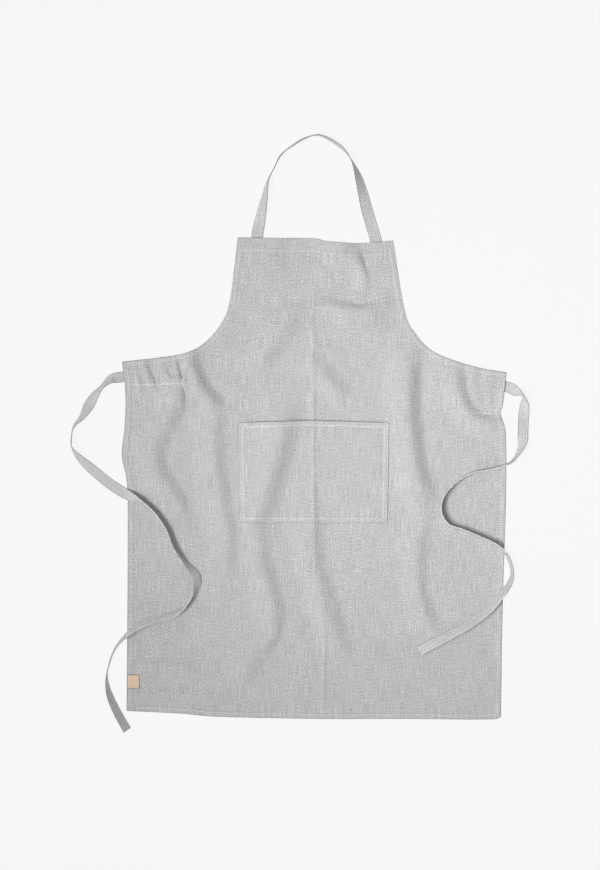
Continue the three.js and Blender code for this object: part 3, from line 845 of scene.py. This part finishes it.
# Neck strap and waist ties: strips of the same linen folded lengthwise, edges in, and sewn along one side.
# The neck strap is one loop sewn behind the bib, and each tie comes out of its tunnel and lies as it fell.
# Each row is a place that the middle of the strap passes over and its roll, flat at 0 and on edge at 90.
STRAPS = [
    dict(
        node="neck_strap", width=22, hidden_start=3, hidden_end=3, hidden_rest=OFF_TABLE,
        rows=[
            (-82, 334, 0), (-79, 374, 0), (-73, 404, -29), (-66, 440, -56), (-60, 470, -78),
            (-48, 495, -85), (-35, 519, -87), (-13, 537, -76), (9, 550, -75), (32, 556, -85),
            (53, 549, -93), (72, 537, -96), (87, 523, -90), (100, 502, -76), (110, 476, -48),
            (118, 447, -27), (127, 412, -8), (142, 362, 0), (150, 330, 0),
        ],
    ),
    dict(
        node="left_tie", width=20, hidden_start=4, hidden_end=0, hidden_rest=OFF_TABLE + LINEN_WALL + GAP,
        rows=[
            (-222, 120, 0), (-275, 111, 0), (-335, 105, 0), (-353, 101, 36), (-369, 87, 62),
            (-383, 70, 36), (-393, 54, 10), (-406, 31, 52), (-422, 12, 75), (-426, -9, 84),
            (-425, -27, 80), (-411, -46, 48), (-386, -69, 17), (-357, -93, 8), (-326, -113, 12),
            (-297, -128, 65), (-271, -149, 80), (-249, -179, 88), (-235, -213, 92), (-216, -240, 104),
            (-197, -261, 140), (-192, -280, 138), (-200, -304, 97), (-219, -328, 78), (-243, -340, 50),
            (-271, -347, 44), (-303, -361, 55), (-329, -382, 74), (-345, -402, 81), (-355, -427, 82),
            (-360, -452, 90), (-358, -476, 108), (-351, -498, 122), (-339, -524, 130), (-322, -554, 134),
        ],
    ),
    dict(
        node="right_tie", width=20, hidden_start=4, hidden_end=0, hidden_rest=OFF_TABLE + LINEN_WALL + GAP,
        rows=[
            (288, 111, 0), (333, 100, 0), (389, 86, 0), (401, 79, 26), (416, 70, 83),
            (419, 52, 36), (418, 29, 0), (417, 2, 0), (415, -20, 46), (406, -39, 75),
            (396, -52, 82), (380, -60, 86), (355, -67, 88), (327, -72, 88), (303, -82, 88),
            (280, -101, 88), (265, -124, 88), (263, -148, 86), (276, -170, 82), (303, -180, 80),
            (335, -193, 82), (362, -205, 84), (380, -219, 82), (391, -238, 78), (396, -261, 80),
            (391, -280, 69), (376, -301, 58), (352, -329, 48), (318, -355, 44), (283, -375, 34),
            (251, -391, 26), (224, -407, 20),
        ],
    ),
]
STRAP_WALL = 1.5
STRAP_SPACING = 2.5
STRAP_SLOPE = 0.3
STRAP_SETTLE = 9
STRAP_FEELERS = 7
STRAP_SEAM = 2.0
STRAP_EDGE = 1.0
# Painted shade along strap edges that lie flat or beside the panel, painted highlight along the top edge of
# a strap on edge; STRAP_LIGHT makes the rest of each strap's face a little paler.
PAINTED_EDGE_LIGHT = {"flat": -5, "upright": 5, "beside the panel": -5}
STRAP_LIGHT = 1.1
BESIDE_EDGE = 8
STRAP_EDGE_PLACES = (0, 0.25, 0.8, 1.7, 2.5, 3.3, 6.0)


def lies_on(places):
    """Height of what a strap lies on: the panel's front, or the table beside it."""
    near = nearest_on(closed(panel_loop), places)[0] < BESIDE_EDGE
    return np.where(near | inside(panel_loop, places), panel_front(places) + GAP, 0)


def strap_course(row):
    """The middle line of a laid strap, with the directions across its width and out of its face."""
    rows = np.array(row["rows"], float)
    spans = len(rows) - 1
    numbered = np.column_stack([rows, np.arange(spans + 1)])
    line = evenly(smooth_run(numbered, CURVE_STEPS), STRAP_SPACING)
    places, roll, span = line[:, :2], np.radians(line[:, 2]), line[:, 3]
    heading = np.gradient(places, axis=0)
    heading /= np.linalg.norm(heading, axis=1, keepdims=True)
    left = np.column_stack([-heading[:, 1], heading[:, 0]])
    across = np.column_stack([left * np.cos(roll)[:, None], np.sin(roll)])
    face = np.column_stack([-left * np.sin(roll)[:, None], np.cos(roll)])
    hidden = (span <= row["hidden_start"] - 1) | (span >= spans - row["hidden_end"] + 1)
    heights = []
    for reach in np.linspace(-row["width"] / 2, row["width"] / 2, STRAP_FEELERS):
        rest = np.where(hidden, row["hidden_rest"], lies_on(places + across[:, :2] * reach))
        heights.append(rest - across[:, 2] * reach)
    needed = np.max(heights, axis=0) + abs(face[:, 2]) * STRAP_WALL / 2
    height = needed.copy()
    fall = STRAP_SLOPE * STRAP_SPACING
    for step in range(1, len(height)):
        height[step] = max(height[step], height[step - 1] - fall)
    for step in range(len(height) - 1, 0, -1):
        height[step - 1] = max(height[step - 1], height[step] - fall)
    padded = np.pad(height, STRAP_SETTLE // 2, mode="edge")
    settled = np.convolve(padded, np.full(STRAP_SETTLE, 1 / STRAP_SETTLE), mode="valid")
    centre = np.column_stack([places, np.maximum(settled, needed)])
    return centre, across, face


def strap_piece(row):
    """One strap with its row of stitches, which shows on both faces."""
    centre, across, face = strap_course(row)
    half = row["width"] / 2
    edge = np.array(STRAP_EDGE_PLACES)
    reach = np.concatenate([edge - half, [0], (half - edge)[::-1]])
    lip = np.clip(1 - (half - abs(reach)) / LIP, 0, 1)
    bulge = STRAP_WALL / 2 * np.sqrt(1 - lip**2)
    ring_reach = np.concatenate([reach, reach[-2:0:-1]])
    ring_bulge = np.concatenate([-bulge, bulge[-2:0:-1]])
    points = (centre[:, None] + across[:, None] * ring_reach[None, :, None]
              + face[:, None] * ring_bulge[None, :, None])
    size = len(ring_reach)
    steps = len(centre)
    faces = []
    for step in range(steps - 1):
        for place in range(size):
            following = (place + 1) % size
            a, b = step * size + place, step * size + following
            faces.append((a, a + size, b + size, b))
    faces.append(tuple(range(size)))
    faces.append(tuple(reversed(range((steps - 1) * size, steps * size))))
    along = np.repeat(np.arange(steps) * STRAP_SPACING, size)
    weave = np.column_stack([np.tile(ring_reach, steps), along])
    # Painted edge shade where the strap lies flat, painted highlight where it stands on edge.
    on_panel = inside(panel_loop, centre[:, :2])
    upright = across[:, 2] ** 2
    on_linen = PAINTED_EDGE_LIGHT["flat"] + (PAINTED_EDGE_LIGHT["upright"] - PAINTED_EDGE_LIGHT["flat"]) * upright
    light = np.where(on_panel, on_linen, PAINTED_EDGE_LIGHT["beside the panel"])
    hem_tone_and_painted_light = np.where(half - abs(ring_reach) < STRAP_EDGE, light[:, None], STRAP_LIGHT).ravel()
    piece = make_piece(row["node"] + "_linen", points.reshape(-1, 3), faces, weave, hem_tone_and_painted_light, linen)
    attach(piece, "root")
    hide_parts(row["node"])
    seam = centre + across * (half - STRAP_SEAM)
    thread = sew(row["node"] + "_thread", [seam + face * STRAP_WALL / 2, seam - face * STRAP_WALL / 2])


for row in STRAPS:
    strap_piece(row)


# Table: a plain pale top that the apron lies on, so bright that shadows on it stay faint.
# It is only the place of the picture and no part of the apron.
TABLE_SIDE = 12
TABLE_DROP = 0.0006
TABLE_GREY = (0.05, 0.05, 0.05, 1)
TABLE_GLOW = 0.889
TABLE_WHITE = (1, 1, 1, 1)
TABLE_ROUGHNESS = 1
TABLE_SPECULAR = 0
bpy.ops.mesh.primitive_plane_add(size=TABLE_SIDE, location=(0, 0, -TABLE_DROP))
table = bpy.context.object
table.name = "table"
paint = bpy.data.materials.new("pale_table")
paint.use_nodes = True
surface = paint.node_tree.nodes["Principled BSDF"]
surface.inputs["Base Color"].default_value = TABLE_GREY
surface.inputs["Roughness"].default_value = TABLE_ROUGHNESS
surface.inputs["Specular IOR Level"].default_value = TABLE_SPECULAR
surface.inputs["Emission Color"].default_value = TABLE_WHITE
surface.inputs["Emission Strength"].default_value = TABLE_GLOW
table.data.materials.append(paint)


# Studio light: one soft lamp high on the left, turned towards the right side, and white walls all round.
# The folds show by the lamp, which throws short shadows beside the straps and leaves the left side duller.
KEY_DIRECTION = (0.5, 0.18, -0.85)
KEY_AIM = (0.4, 0.09, 0)
KEY_DISTANCE = 4
KEY_POWER = 604
KEY_CONE = 0.69
KEY_BLEND = 1
KEY_RADIUS = 0.8
WALL_STRENGTH = 0.38
world = bpy.data.worlds.new("white_walls")
world.use_nodes = True
world.node_tree.nodes["Background"].inputs["Color"].default_value = TABLE_WHITE
world.node_tree.nodes["Background"].inputs["Strength"].default_value = WALL_STRENGTH
bpy.context.scene.world = world
key_lamp = bpy.data.lights.new("key", "SPOT")
key_lamp.energy = KEY_POWER
key_lamp.spot_size = KEY_CONE
key_lamp.spot_blend = KEY_BLEND
key_lamp.shadow_soft_size = KEY_RADIUS
key = bpy.data.objects.new("key", key_lamp)
key.location = Vector(KEY_AIM) - Vector(KEY_DIRECTION).normalized() * KEY_DISTANCE
key.rotation_mode = "QUATERNION"
key.rotation_quaternion = Vector(KEY_DIRECTION).to_track_quat("-Z", "Y")
bpy.context.scene.collection.objects.link(key)


# Camera: straight above the table, looking down, with the bib at the top of the picture.
CAMERA_PLACE = (0.0002, -0.0032, 3.2)
CAMERA_LENS = 70.8
CAMERA_SENSOR = 36
lens = bpy.data.cameras.new("camera")
lens.lens = CAMERA_LENS
lens.sensor_width = CAMERA_SENSOR
camera = bpy.data.objects.new("camera", lens)
camera.location = CAMERA_PLACE
bpy.context.scene.collection.objects.link(camera)
bpy.context.scene.camera = camera
bpy.context.scene.view_settings.view_transform = "Standard"
